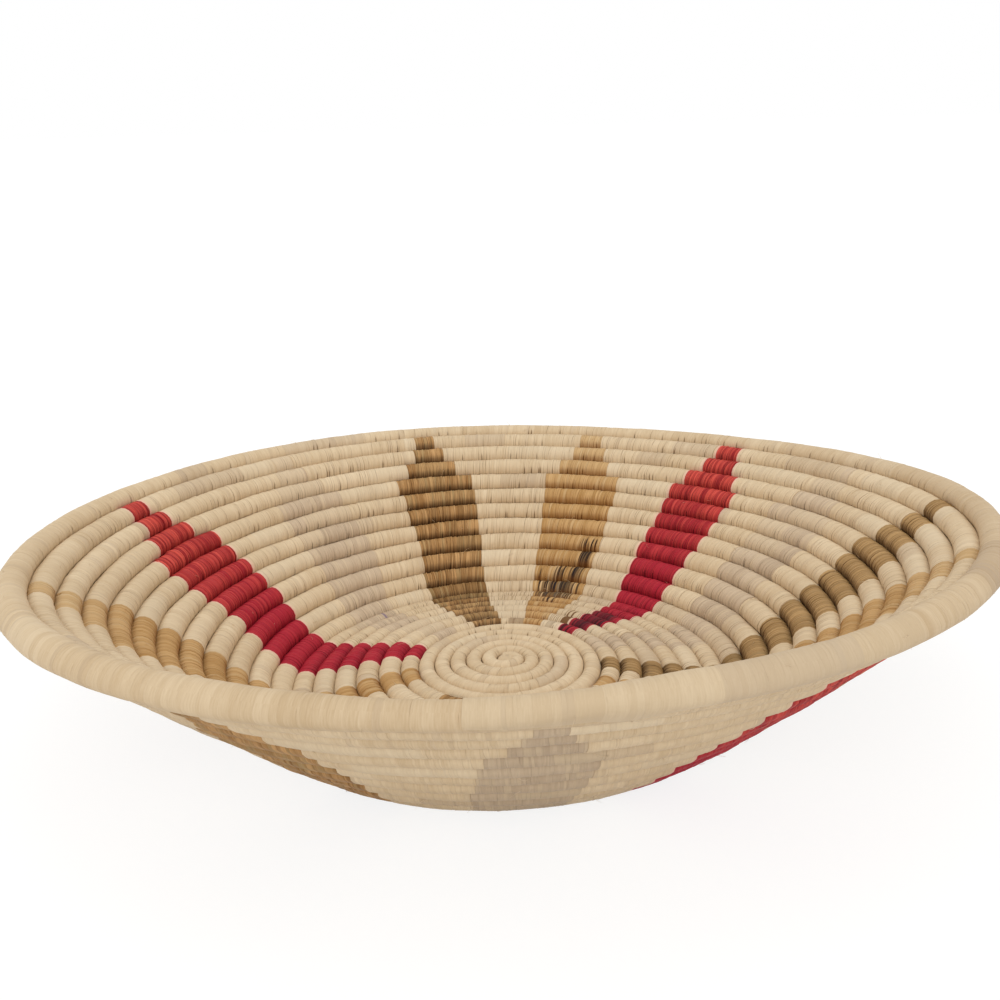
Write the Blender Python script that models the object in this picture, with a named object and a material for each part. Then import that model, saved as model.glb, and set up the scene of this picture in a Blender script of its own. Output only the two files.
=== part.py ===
"""Coiled basket tray, modelled as its lashed coil, petal by petal.

One long foundation coil spirals clockwise, seen from above, from the middle of
the floor out to the rim. Coloured strands lash each turn to the turn before.
The parts are the plain middle coil, twelve coloured petals, the twelve cream
fields between them and the thicker rim coil.

Metres, +Z up. The tray stands on the floor plane with its outline centred on
the origin, and the side that faces -Y is the front.
"""
import math

import bmesh
import bpy
import numpy as np
from mathutils import Vector

# Coil: turns are counted from the middle of the floor outwards
CENTRE_TURNS = 6            # plain turns in the middle of the floor
FLOOR_TURN = 12             # outermost turn of the floor, the tray stands on it
LAST_PETAL_TURN = 23        # last turn below the rim
COIL_START = 1.06           # turn count at the coil's inner end
POLE_TURN = 0.62            # turn count at which the spiral's radius is zero
SEAM_DEG = -78.4            # azimuth at which one turn ends and the next begins

# Spacing of neighbouring turns, which is also the thickness of the coil there
MIDDLE_PITCH = 0.00673
DISC_EDGE_PITCH = 0.00693
FLOOR_EDGE_PITCH = 0.01049
WALL_PITCH = 0.00990
TOP_PITCH = 0.01030
PITCH_TURNS = (0.0, 7.0, 12.0, 18.0, 24.0)

# Slope of the coiled surface against the floor, in degrees, at these turns
SLOPE_TURNS = (0.0, 9.0, 12.0, 13.0, 14.5, 17.0, 20.0, 24.0)
SLOPE_DEG = (0.0, -5.2, -4.4, 33.1, 34.8, 39.1, 42.3, 29.5)

# Hand-made unevenness: it grows from one turn outwards to these sizes at the rim
WARP_TURN = 11.0
WARP_POWER = 1.2
RIM_TILT = 0.0099           # the rim is this much lower behind, higher in front
RIM_ROLL = 0.0003           # the same to the right
RIM_SADDLE = 0.0011         # sides up, front and back down
RIM_TWIST = -0.0011         # the same, an eighth of a turn on
RIM_RIPPLE = 0.0012         # three waves in height
RIM_RIPPLE_TURNED = -0.0007
RIM_SHIFT_BACK = 0.0051
RIM_SHIFT_LEFT = 0.0017
RIM_OVAL = 0.0075           # wider from side to side than from front to back
RIM_SKEW = 0.0033           # turns the oval a little
RIM_LOBES = -0.0010         # three waves in radius
BELLY_TURN = 16.5           # the wall bulges outwards from this turn
BELLY_TURNS = 8.3           # over this many turns, by these depths
BELLY = 0.0008
BELLY_FRONT = 0.0013        # more in front, less behind
BELLY_RIGHT = 0.0006
BELLY_SIDES = 0.0015        # more at both sides, less in front and behind
BELLY_TURNED = 0.0003
FLOOR_SHIFT_X = -0.0022
FLOOR_SHIFT_Y = -0.0012

# Petals, in the order red, grey, brown, tan, clockwise from the left
PETAL_COLOURS = ("red", "grey", "brown", "tan")
PETAL_DEG = (162.0, 129.8, 103.6, 73.1, 47.3, 22.5, -1.2, -21.7, -51.5, -86.6,
             -122.0, -164.5)
# Half the angle that each petal's full rows cover, and its last rows at the tip
PETAL_HALF_DEG = (8.8, 7.0, 8.4, 7.7, 7.7, 7.3, 7.4, 7.0, 7.6, 8.2, 8.0, 7.6)
TIP_HALF_DEG = {21: 4.9, 22: 2.9, 23: 1.7}

# Gaps and sections
ROW_GAP = 0.0005            # between the faces of neighbouring turns
END_GAP = 0.0005            # between the ends of neighbouring lashings
COIL_GAP = 0.0009           # between the turns of the middle coil
COIL_END_GAP = 0.0013       # between a tube's flat end and the lashing it meets
EDGE_SHARE = 0.27           # half-height of a row's side face, in pitches
CREST_SHARE = 0.50          # half-height of a row's crest, in pitches
ORIGIN_TURN = 15            # a petal's or field's origin lies on this turn
SMOOTH_TURN = 13            # rows from this turn out get a section at mid-sector
START_TAPER = 0.74          # thickness of the coil's inner end, as a share
TAPER_TURNS = 0.55
RIM_THICKNESS = 0.94        # rim coil's mean diameter in pitches
RIM_THICKER_FRONT = 0.11    # it is this much thicker in front and thinner behind
RIM_CLEARANCE = 0.06        # rim coil's gap over the turn below, in pitches
RIM_START_TAPER = 0.94      # thickness at its start, which its end runs over, as a share
RIM_GROWTH_TURNS = 0.05     # length over which it thickens, once clear of its end
RIM_TURNS = 1.045           # turns that the rim coil runs, over its own start at the end
RIM_END_TAPER = 0.30        # thickness of the rim coil's outer end, as a share
RIM_TAPER_TURNS = 0.02      # length of that taper
RIM_LIFT_TURNS = 0.04       # length over which the end climbs on to the start
FLAT_DEPTH = 0.0005         # the standing turn is cut flat this deep
FLAT_HALF = 0.0019          # half-width of that flat

COLOURS = {
    "cream": (0.72, 0.57, 0.37),
    "red": (0.40, 0.030, 0.045),
    "grey": (0.52, 0.45, 0.35),
    "brown": (0.25, 0.155, 0.055),
    "tan": (0.56, 0.34, 0.125),
}
ROUGHNESS = 0.72

# Profile of the coil's centre line, added up in small steps
STEP = 0.01
TURN_GRID = np.arange(0.0, 26.0 + STEP / 2, STEP)
PITCH_GRID = np.interp(TURN_GRID, PITCH_TURNS, (
    MIDDLE_PITCH, DISC_EDGE_PITCH, FLOOR_EDGE_PITCH, WALL_PITCH, TOP_PITCH))
SLOPE_GRID = np.radians(np.interp(TURN_GRID, SLOPE_TURNS, SLOPE_DEG))


def running_sum(rate):
    """Integral of a rate given at each turn of the grid."""
    return np.concatenate(([0.0], np.cumsum((rate[1:] + rate[:-1]) * STEP / 2)))


RADIUS_GRID = running_sum(PITCH_GRID * np.cos(SLOPE_GRID))
RADIUS_GRID -= np.interp(POLE_TURN, TURN_GRID, RADIUS_GRID)
HEIGHT_GRID = running_sum(PITCH_GRID * np.sin(SLOPE_GRID))
BASE_DROP = float(np.min(HEIGHT_GRID - CREST_SHARE * PITCH_GRID)) + FLAT_DEPTH


def pitch_at(turn):
    return float(np.interp(turn, TURN_GRID, PITCH_GRID))


def radius_at(turn):
    return float(np.interp(turn, TURN_GRID, RADIUS_GRID))


def surface_point(turn, azimuth, along=0.0, normal=0.0):
    """Point near the coiled surface.

    turn is the place along the profile and azimuth the angle round it. along
    moves it up the profile, and normal moves it to the inner, upper side.
    """
    slope = float(np.interp(turn, TURN_GRID, SLOPE_GRID))
    radius = radius_at(turn)
    height = float(np.interp(turn, TURN_GRID, HEIGHT_GRID)) - BASE_DROP
    once = (math.cos(azimuth), math.sin(azimuth))
    twice = (math.cos(2 * azimuth), math.sin(2 * azimuth))
    thrice = (math.cos(3 * azimuth), math.sin(3 * azimuth))
    belly = BELLY + BELLY_RIGHT * once[0] - BELLY_FRONT * once[1]
    belly += BELLY_SIDES * twice[0] + BELLY_TURNED * twice[1]
    belly *= math.sin(math.pi * min(1.0, max(0.0, (turn - BELLY_TURN) / BELLY_TURNS)))
    radius += along * math.cos(slope) - (normal - belly) * math.sin(slope)
    height += along * math.sin(slope) + (normal - belly) * math.cos(slope)
    share = max(0.0, (turn - WARP_TURN) / (24.0 - WARP_TURN)) ** WARP_POWER
    radius += share * (RIM_SHIFT_BACK * once[1] - RIM_SHIFT_LEFT * once[0])
    radius += share * (RIM_OVAL * twice[0] + RIM_SKEW * twice[1])
    radius += share * RIM_LOBES * thrice[1]
    height += share * (RIM_ROLL * once[0] - RIM_TILT * once[1])
    height += share * (RIM_SADDLE * twice[0] + RIM_TWIST * twice[1])
    height += share * (RIM_RIPPLE * thrice[0] + RIM_RIPPLE_TURNED * thrice[1])
    floor = max(0.0, 1.0 - turn / 24.0)
    return Vector((radius * once[0] + floor * FLOOR_SHIFT_X,
                   radius * once[1] + floor * FLOOR_SHIFT_Y,
                   height))


def turn_share(azimuth_deg):
    """Part of a turn from the seam clockwise to an azimuth."""
    return (SEAM_DEG - azimuth_deg) / 360.0


def clockwise_centres():
    """Petal numbers and centre azimuths, clockwise from the seam and past it."""
    first = min(range(12), key=lambda k: abs(PETAL_DEG[k] + PETAL_HALF_DEG[k] - SEAM_DEG))
    order = [(first + k) % 12 for k in range(12)]
    centres = []
    for number in order:
        angle = PETAL_DEG[number]
        while centres and angle > centres[-1]:
            angle -= 360.0
        centres.append(angle)
    centres.append(centres[0] - 360.0)
    return order, centres


ORDER, CENTRES = clockwise_centres()


def petal_edge(place, side, turn):
    """Azimuth of a petal's edge, by its place clockwise from the seam."""
    full = PETAL_HALF_DEG[ORDER[place % 12]]
    return CENTRES[place] + side * TIP_HALF_DEG.get(turn, full)


def corner_azimuths(smooth):
    """Azimuths at which a turn bends, clockwise. Between them it runs straight."""
    corners = []
    for k, centre in enumerate(CENTRES):
        corners.append(petal_edge(k, 1, FLOOR_TURN))
        if smooth:
            corners.append(centre)
        corners.append(petal_edge(k, -1, FLOOR_TURN))
        if smooth and k < 12:
            corners.append((corners[-1] + petal_edge(k + 1, 1, FLOOR_TURN)) / 2)
    return corners


CORNERS = {False: corner_azimuths(False), True: corner_azimuths(True)}


def straight_run(azimuth_deg, smooth):
    """The two corners on either side of an azimuth and its share of the way."""
    corners = CORNERS[smooth]
    for start, stop in zip(corners, corners[1:]):
        if stop - 1e-6 <= azimuth_deg <= start + 1e-6:
            break
    before = math.sin(math.radians(start - azimuth_deg))
    after = math.sin(math.radians(azimuth_deg - stop))
    return start, stop, before / (before + after)


def corner_section(turn, azimuth_deg):
    """Section of one turn at an azimuth, if its path were a smooth curve.

    The order is lower inner edge, inner crest, upper inner edge, upper outer
    edge, outer crest and lower outer edge. On the standing turn the outer crest
    is two points on the floor plane.
    """
    azimuth = math.radians(azimuth_deg)
    below = turn - 1 + turn_share(azimuth_deg)
    middle = below + 0.5
    above = below + 1
    gap = ROW_GAP / 2
    edge_low = EDGE_SHARE * pitch_at(below)
    edge_high = EDGE_SHARE * pitch_at(above)
    crest = CREST_SHARE * pitch_at(middle)
    standing = turn == FLOOR_TURN
    outer = (FLAT_HALF, -FLAT_HALF) if standing else (0.0,)
    points = [
        surface_point(below, azimuth, gap, edge_low),
        surface_point(middle, azimuth, 0.0, crest),
        surface_point(above, azimuth, -gap, edge_high),
        surface_point(above, azimuth, -gap, -edge_high),
    ]
    points += [surface_point(middle, azimuth, along, -crest) for along in outer]
    points.append(surface_point(below, azimuth, gap, -edge_low))
    if standing:
        points[4].z = 0.0
        points[5].z = 0.0
    return points


def section(turn, azimuth_deg):
    """Section of one turn where it runs straight from corner to corner."""
    start, stop, share = straight_run(azimuth_deg, turn >= SMOOTH_TURN)
    first = corner_section(turn, start)
    second = corner_section(turn, stop)
    return [a.lerp(b, share) for a, b in zip(first, second)]


def row_azimuths(sector, turn):
    """Azimuths of one row's sections, clockwise, between its two ends."""
    start, stop = (petal_edge(place, side, turn + later)
                   for place, side, later in sector["edges"])
    marks = [start, stop]
    for place in range(13):
        for near in (turn - 1, turn, turn + 1):
            if CENTRE_TURNS < near <= LAST_PETAL_TURN:
                marks += [petal_edge(place, 1, near), petal_edge(place, -1, near)]
    marks += CORNERS[turn >= SMOOTH_TURN]
    marks = sorted({round(mark, 5) for mark in marks
                    if stop - 1e-6 <= mark <= start + 1e-6}, reverse=True)
    return marks


def stitch(mesh, first, second):
    """Faces between two rows of vertices, each a list of (azimuth, vertex)."""
    i = j = 0
    while i < len(first) - 1 or j < len(second) - 1:
        next_first = first[i + 1][0] if i < len(first) - 1 else -1e9
        next_second = second[j + 1][0] if j < len(second) - 1 else -1e9
        if abs(next_first - next_second) < 1e-4:
            mesh.faces.new((first[i][1], first[i + 1][1], second[j + 1][1], second[j][1]))
            i += 1
            j += 1
        elif next_first > next_second:
            mesh.faces.new((first[i][1], first[i + 1][1], second[j][1]))
            i += 1
        else:
            mesh.faces.new((first[i][1], second[j + 1][1], second[j][1]))
            j += 1


def build_sector(mesh, sector):
    """All the rows of a petal or a field, joined row to row by its lashing."""
    rows = {}
    for turn in range(CENTRE_TURNS + 1, LAST_PETAL_TURN + 1):
        marks = row_azimuths(sector, turn)
        inset = math.degrees(END_GAP / 2 / radius_at(turn - 0.5 + turn_share(marks[0])))
        places = list(marks)
        places[0] -= inset
        places[-1] += inset
        rows[turn] = [(mark, [mesh.verts.new(p) for p in section(turn, place)])
                      for mark, place in zip(marks, places)]
    for turn, row in rows.items():
        for (mark, here), (_, there) in zip(row, row[1:]):
            runs = [(0, 1), (1, 2)] + [(k, k + 1) for k in range(3, len(here) - 1)]
            for a, b in runs:
                mesh.faces.new((here[a], here[b], there[b], there[a]))
        mesh.faces.new(row[0][1])
        mesh.faces.new(row[-1][1])
    for turn in range(CENTRE_TURNS, LAST_PETAL_TURN + 1):
        lower = rows.get(turn, [])
        upper = rows.get(turn + 1, [])
        start = stop = None
        if lower and upper:
            start = min(lower[0][0], upper[0][0])
            stop = max(lower[-1][0], upper[-1][0])
        for row, inner, outer in ((lower, 2, 3), (upper, 0, -1)):
            for (mark, here), (following, there) in zip(row, row[1:]):
                bridged = start is not None and mark <= start + 1e-4 and following >= stop - 1e-4
                if not bridged:
                    mesh.faces.new((here[inner], here[outer], there[outer], there[inner]))
        if start is None:
            continue
        low = [item for item in lower if stop - 1e-4 <= item[0] <= start + 1e-4]
        high = [item for item in upper if stop - 1e-4 <= item[0] <= start + 1e-4]
        stitch(mesh, [(m, v[2]) for m, v in low], [(m, v[0]) for m, v in high])
        stitch(mesh, [(m, v[3]) for m, v in low], [(m, v[-1]) for m, v in high])
        for end in (0, -1):
            mesh.faces.new((low[end][1][2], high[end][1][0], high[end][1][-1], low[end][1][3]))


def sector_list():
    """Name, colour and edges of each petal and field, clockwise from the seam.

    An edge is a petal's place from the seam, the side of it, and 1 where the row
    ends at the seam and so meets the next turn of the first petal.
    """
    sectors = []
    for k, number in enumerate(ORDER):
        colour = PETAL_COLOURS[number % 4]
        at_seam = 1 if k == 11 else 0
        sectors.append({
            "name": "petal_%s_%d" % (colour, number // 4 + 1),
            "colour": colour,
            "edges": ((k, 1, 0), (k, -1, 0)),
        })
        sectors.append({
            "name": "field_%02d" % (number + 1),
            "colour": "cream",
            "edges": ((k, -1, 0), (k + 1, 1, at_seam)),
        })
    return sectors


def make_material(name, colour):
    material = bpy.data.materials.new(name)
    material.use_nodes = True
    shader = material.node_tree.nodes["Principled BSDF"]
    shader.inputs["Base Color"].default_value = (*COLOURS[colour], 1.0)
    shader.inputs["Roughness"].default_value = ROUGHNESS
    shader.inputs["Metallic"].default_value = 0.0
    return material


def sector_object(sector):
    """A petal or a field as one closed shape, with its origin on its own wall."""
    mesh = bmesh.new()
    build_sector(mesh, sector)
    bmesh.ops.recalc_face_normals(mesh, faces=mesh.faces)
    bmesh.ops.triangulate(mesh, faces=mesh.faces)
    middle = sum(petal_edge(place, side, FLOOR_TURN) for place, side, _ in sector["edges"]) / 2
    origin = surface_point(ORIGIN_TURN, math.radians(middle))
    bmesh.ops.translate(mesh, verts=mesh.verts, vec=-origin)
    data = bpy.data.meshes.new(sector["name"])
    mesh.to_mesh(data)
    mesh.free()
    data.materials.append(make_material(sector["name"], sector["colour"]))
    thing = bpy.data.objects.new(sector["name"], data)
    thing.location = origin
    return thing


def coil_object(name, places, radii, sides_level):
    """One unbroken tube through the places, with its ends closed."""
    thickness = max(radii)
    curve = bpy.data.curves.new(name, "CURVE")
    curve.dimensions = "3D"
    curve.bevel_depth = thickness
    curve.bevel_resolution = sides_level
    curve.use_fill_caps = True
    spline = curve.splines.new("POLY")
    spline.points.add(len(places) - 1)
    for point, place, radius in zip(spline.points, places, radii):
        point.co = (*place, 1.0)
        point.radius = radius / thickness
    curve.materials.append(make_material(name, "cream"))
    return bpy.data.objects.new(name, curve)


def chord_place(turn_at_seam, azimuth_deg, smooth):
    """Point on a coil's straight run, for a coil that is at this turn at the seam."""
    start, stop, share = straight_run(azimuth_deg, smooth)
    ends = [surface_point(turn_at_seam + turn_share(corner), math.radians(corner))
            for corner in (start, stop)]
    return ends[0].lerp(ends[1], share)


def centre_coil():
    """The plain turns in the middle, from the coil's inner end to the seam."""
    inset = math.degrees(COIL_END_GAP / radius_at(CENTRE_TURNS + 0.5))
    places = []
    radii = []
    for turn in range(1, CENTRE_TURNS + 1):
        marks = list(CORNERS[False][:24])
        if turn == CENTRE_TURNS:
            marks.append(petal_edge(12, 1, CENTRE_TURNS) + inset)
        for mark in marks:
            at = turn - 0.5 + turn_share(mark)
            if at < COIL_START:
                continue
            places.append(chord_place(turn - 0.5, mark, False))
            grown = min(1.0, START_TAPER + (1 - START_TAPER) * (at - COIL_START) / TAPER_TURNS)
            radii.append(grown * (pitch_at(at) - COIL_GAP) / 2)
    return coil_object("centre_coil", places, radii, 1), places, radii


def rim_coil():
    """The last, thicker turn, which ends in a taper over its own start."""
    inset = math.degrees(COIL_END_GAP / radius_at(LAST_PETAL_TURN + 0.5))
    first = SEAM_DEG - inset
    last = SEAM_DEG - 360.0 * RIM_TURNS
    taper = 360.0 * RIM_TAPER_TURNS
    marks = [mark for mark in CORNERS[True] if last + taper + 1 < mark < first - 1]
    marks += [last + taper, last + taper / 2]
    places = []
    radii = []
    for mark in [first] + marks + [last]:
        share = turn_share(mark)
        ending = min(1.0, max(0.0, 1 - (RIM_TURNS - share) / RIM_TAPER_TURNS))
        growth = min(1.0, max(0.0, (share - RIM_TURNS + 1) / RIM_GROWTH_TURNS))
        thickness = RIM_THICKNESS - RIM_THICKER_FRONT * math.sin(math.radians(mark))
        own_start = thickness * RIM_START_TAPER + 3 * RIM_CLEARANCE - 1
        thickness *= 1 - (1 - RIM_START_TAPER) * (1 - growth)
        thickness *= 1 - (1 - RIM_END_TAPER) * ending
        climb = min(1.0, max(0.0, 1 - (1 - share) / RIM_LIFT_TURNS))
        offset = RIM_CLEARANCE + thickness / 2 + climb * own_start
        places.append(chord_place(LAST_PETAL_TURN + offset, mark, True))
        radii.append(thickness * pitch_at(LAST_PETAL_TURN + share) / 2)
    return coil_object("rim_coil", places, radii, 2), places, radii


def least_gap(places, radii, apart):
    """Smallest gap between a coil's stretches that lie a part of a loop apart."""
    steps = np.linspace(0.0, 1.0, 9)[:-1]
    points = np.array([places[k].lerp(places[k + 1], t)
                       for k in range(len(places) - 1) for t in steps])
    sizes = np.array([radii[k] + (radii[k + 1] - radii[k]) * t
                      for k in range(len(radii) - 1) for t in steps])
    least = 1.0
    for k in range(len(points) - apart * 8):
        far = slice(k + apart * 8, None)
        gaps = np.linalg.norm(points[far] - points[k], axis=1) - sizes[far] - sizes[k]
        least = min(least, float(gaps.min()))
    return least


def world_box(things):
    corners = []
    for thing in things:
        shape = thing.evaluated_get(bpy.context.evaluated_depsgraph_get()).to_mesh()
        flat = np.empty(len(shape.vertices) * 3)
        shape.vertices.foreach_get("co", flat)
        corners.append(flat.reshape(-1, 3) + np.array(thing.location))
    corners = np.concatenate(corners)
    return corners.min(axis=0), corners.max(axis=0)


def main():
    for thing in list(bpy.data.objects):
        bpy.data.objects.remove(thing, do_unlink=True)
    collection = bpy.data.collections.new("coiled_basket_tray")
    bpy.context.scene.collection.children.link(collection)
    frame = bpy.data.objects.new("tray", None)
    collection.objects.link(frame)

    middle, middle_places, middle_radii = centre_coil()
    rim, rim_places, rim_radii = rim_coil()
    things = [middle, rim] + [sector_object(sector) for sector in sector_list()]
    for thing in things:
        collection.objects.link(thing)
        thing.parent = frame
    bpy.context.view_layer.update()

    low, high = world_box(things)
    frame.location = (-(low[0] + high[0]) / 2, -(low[1] + high[1]) / 2, -low[2])
    bpy.context.view_layer.update()

    print("outline %.4f x %.4f x %.4f m" % tuple(high - low))
    print("frame moved by %.5f %.5f %.5f m" % tuple(frame.location))
    print("middle coil, least gap %.2f mm" % (1000 * least_gap(middle_places, middle_radii, 12)))
    print("rim coil, least gap %.2f mm" % (1000 * least_gap(rim_places, rim_radii, 24)))
    count = 0
    for thing in things:
        shape = thing.evaluated_get(bpy.context.evaluated_depsgraph_get()).to_mesh()
        shape.calc_loop_triangles()
        count += len(shape.loop_triangles)
    print("%d parts, %d triangles" % (len(things), count))


main()
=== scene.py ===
import math
import bpy
import numpy as np
from mathutils import Matrix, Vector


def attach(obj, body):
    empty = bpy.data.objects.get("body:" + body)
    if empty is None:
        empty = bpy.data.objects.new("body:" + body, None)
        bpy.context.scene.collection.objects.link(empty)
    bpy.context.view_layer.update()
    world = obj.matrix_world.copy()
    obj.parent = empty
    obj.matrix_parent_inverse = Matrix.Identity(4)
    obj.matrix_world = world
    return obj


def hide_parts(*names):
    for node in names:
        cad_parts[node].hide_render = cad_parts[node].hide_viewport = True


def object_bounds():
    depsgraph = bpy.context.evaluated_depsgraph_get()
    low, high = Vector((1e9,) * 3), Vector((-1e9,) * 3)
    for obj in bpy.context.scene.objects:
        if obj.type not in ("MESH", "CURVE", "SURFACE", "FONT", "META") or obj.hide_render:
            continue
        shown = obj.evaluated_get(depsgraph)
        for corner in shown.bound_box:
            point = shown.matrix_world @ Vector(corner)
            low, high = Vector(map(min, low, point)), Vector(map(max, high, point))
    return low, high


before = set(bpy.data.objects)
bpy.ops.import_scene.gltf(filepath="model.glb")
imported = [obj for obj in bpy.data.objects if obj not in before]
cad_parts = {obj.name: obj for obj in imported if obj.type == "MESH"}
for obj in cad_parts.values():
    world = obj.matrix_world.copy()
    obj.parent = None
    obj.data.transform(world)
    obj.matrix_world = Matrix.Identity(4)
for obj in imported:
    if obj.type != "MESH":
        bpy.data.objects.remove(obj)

cadBox = [list(corner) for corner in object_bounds()]
print("frame loaded:", len(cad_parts), "nodes")

# The coil: one long core spirals clockwise, seen from above, from the middle of the
# floor to the rim. A turn number counts turns from the middle outwards. Sizes in metres.
coil = dict(
    seam=-78.4,                         # azimuth where one turn ends and the next begins, degrees
    pole=0.62,                          # turn number at which the spiral's radius is zero
    pitchTurns=(0, 7, 12, 18, 24),
    pitch=(0.00673, 0.00693, 0.01049, 0.00990, 0.01030),
    slopeTurns=(0, 9, 12, 13, 14.5, 17, 20, 24),
    slope=(0, -5.2, -4.4, 33.1, 34.8, 39.1, 42.3, 29.5),
    rimTurn=24, warpTurn=11,            # the unevenness grows between these turns
    warpPower=1.2,
    tilt=0.0099, roll=0.0003, saddle=0.0011, twist=-0.0011, ripple=(0.0012, -0.0007),
    shiftBack=0.0051, shiftLeft=0.0017, oval=0.0075, skew=0.0033, lobes=-0.0010,
    bellyTurn=16.5, bellyTurns=8.3,     # the wall bulges outwards over these turns
    belly=0.0008, bellyFront=0.0013, bellyRight=0.0006, bellySides=0.0015, bellyTurned=0.0003,
    floorShift=(-0.0022, -0.0012),
    place=(-0.00062, -0.00281),         # moves the outline's middle over the origin
    pressed=0.0005,                     # the standing turn is pressed flat this deep
    domed=0.0031, domeTurns=11.0,       # the middle of the floor rises this much
    tight=0.045, tightTurns=(6, 11.0),  # the turns lie this share closer, and where that ends
    middleShift=(0.0014, 0.0003),       # the floor's middle lies this much off the spiral's
    middleTurns=6.5,                    # and up to this turn
    wander=0.012,                       # the turns wander up and down the wall, in pitches
    wanderFrom=(6, 9), wanderTo=(22, 23.5),
    waves=((7, 0.9, 1.0), (13, -1.1, 1.0), (23, 1.3, 0.7)),     # waves a turn, drift, size
    settleTurns=(6, 7.5, 8.5, 9.5, 10.5, 11.5, 12.5, 13.5, 14.5, 15.5, 17),
    outward=(0, 0.0013, 0.0026, 0.0030, 0.0026, 0.0019, 0.0003, -0.0003, -0.0005, -0.0002, 0),
    down=(0, 0, 0, 0.0003, 0.0008, 0.0012, 0.0015, 0.0015, 0.0013, 0.0008, 0),
    left=(0, 0, 0.0007, 0.0009, 0.0011, 0.0011, 0.0009, 0.0016, 0.0012, 0.0005, 0),
    lowest=0.0001,                      # no strand comes closer to the ground
)

# Pitch and slope at close steps from the middle to past the rim, summed up to the profile
turnStep = 0.01
turnGrid = np.arange(0, 26.005, turnStep)
pitchGrid = np.interp(turnGrid, coil["pitchTurns"], coil["pitch"])
slopeGrid = np.radians(np.interp(turnGrid, coil["slopeTurns"], coil["slope"]))


def runningSum(rate):
    # integral of a rate over the turn numbers: half of each neighbouring pair times the step
    return np.concatenate(([0], np.cumsum((rate[1:] + rate[:-1]) * (turnStep / 2))))


radiusGrid = runningSum(pitchGrid * np.cos(slopeGrid))
radiusGrid -= np.interp(coil["pole"], turnGrid, radiusGrid)
heightGrid = runningSum(pitchGrid * np.sin(slopeGrid))
heightGrid -= (heightGrid - pitchGrid / 2).min() + coil["pressed"]


def rounded(x, low, high):
    # 0 below low, 1 above high, and an even s-shaped rise between them
    x = np.clip((x - low) / (high - low), 0, 1)
    return x * x * (3 - 2 * x)


def falling(x, low, high):
    # the other way round: 1 below low and 0 above high
    return rounded(-x, -high, -low)


def unit(v):
    # vectors over their lengths
    return v / np.linalg.norm(v, axis=-1, keepdims=True)


def profile(turn):
    # radius and height of the even coil at a turn number: the pitch times the slope's cosine
    # and sine summed up to it, drawn together and domed in the middle and moved by the settle
    # tables. Also the slope and the shift to the left.
    closer = 1 - coil["tight"] * falling(turn, *coil["tightTurns"])
    dome = np.clip(1 - (turn / coil["domeTurns"]) ** 2, 0, 1) ** 1.5
    radius = np.interp(turn, turnGrid, radiusGrid) * closer
    height = np.interp(turn, turnGrid, heightGrid) + coil["domed"] * dome
    outward, down, left = (np.interp(turn, coil["settleTurns"], coil[key])
                           for key in ("outward", "down", "left"))
    return radius + outward, height - down, np.interp(turn, turnGrid, slopeGrid), left


def coilPoint(turn, azimuth):
    # place on the coiled surface: the profile's radius and height at this turn number, plus
    # the unevenness, which is (turns past warpTurn) ** warpPower times waves of the azimuth
    wave = sum(size * np.sin(count * azimuth + drift * turn) for count, drift, size in coil["waves"])
    wanders = rounded(turn, *coil["wanderFrom"]) * falling(turn, *coil["wanderTo"])
    turn = turn + coil["wander"] * wave * wanders
    radius, height, slope, left = profile(turn)
    warpTurns = coil["rimTurn"] - coil["warpTurn"]
    share = np.clip((turn - coil["warpTurn"]) / warpTurns, 0, None) ** coil["warpPower"]
    c1, s1 = np.cos(azimuth), np.sin(azimuth)
    c2, s2 = np.cos(2 * azimuth), np.sin(2 * azimuth)
    c3, s3 = np.cos(3 * azimuth), np.sin(3 * azimuth)
    belly = coil["belly"] + coil["bellyRight"] * c1 - coil["bellyFront"] * s1
    belly = belly + coil["bellySides"] * c2 + coil["bellyTurned"] * s2
    belly = belly * np.sin(np.pi * np.clip((turn - coil["bellyTurn"]) / coil["bellyTurns"], 0, 1))
    radius = radius + belly * np.sin(slope)
    height = height - belly * np.cos(slope)
    radius = radius + share * (coil["shiftBack"] * s1 - coil["shiftLeft"] * c1)
    radius = radius + share * (coil["oval"] * c2 + coil["skew"] * s2 + coil["lobes"] * s3)
    height = height + share * (coil["roll"] * c1 - coil["tilt"] * s1)
    height = height + share * (coil["saddle"] * c2 + coil["twist"] * s2)
    height = height + share * (coil["ripple"][0] * c3 + coil["ripple"][1] * s3)
    floor = np.clip(1 - turn / coil["rimTurn"], 0, 1)
    inner = falling(turn, 0, coil["middleTurns"])
    x = radius * c1 + floor * coil["floorShift"][0] + inner * coil["middleShift"][0] - left
    y = radius * s1 + floor * coil["floorShift"][1] + inner * coil["middleShift"][1]
    return np.stack([x + coil["place"][0], y + coil["place"][1], height], -1)


def turnShare(azimuthDeg):
    # share of a turn that lies between the seam and this azimuth
    return (coil["seam"] - azimuthDeg) / 360


def coilFrame(turn, azimuthDeg):
    # at each point of a turn: its middle, the direction up the profile to the next turn, the
    # direction to the inner, upper side, and the room that the turn has between its neighbours
    azimuth = np.radians(azimuthDeg)
    below = coilPoint(turn - 0.5, azimuth)
    above = coilPoint(turn + 0.5, azimuth)
    along = above - below
    around = np.stack([-np.sin(azimuth), np.cos(azimuth), 0 * azimuth], -1)
    room = np.linalg.norm(along, axis=-1)
    along = along / room[..., None]
    return (above + below) / 2, along, unit(np.cross(along, around)), room


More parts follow.
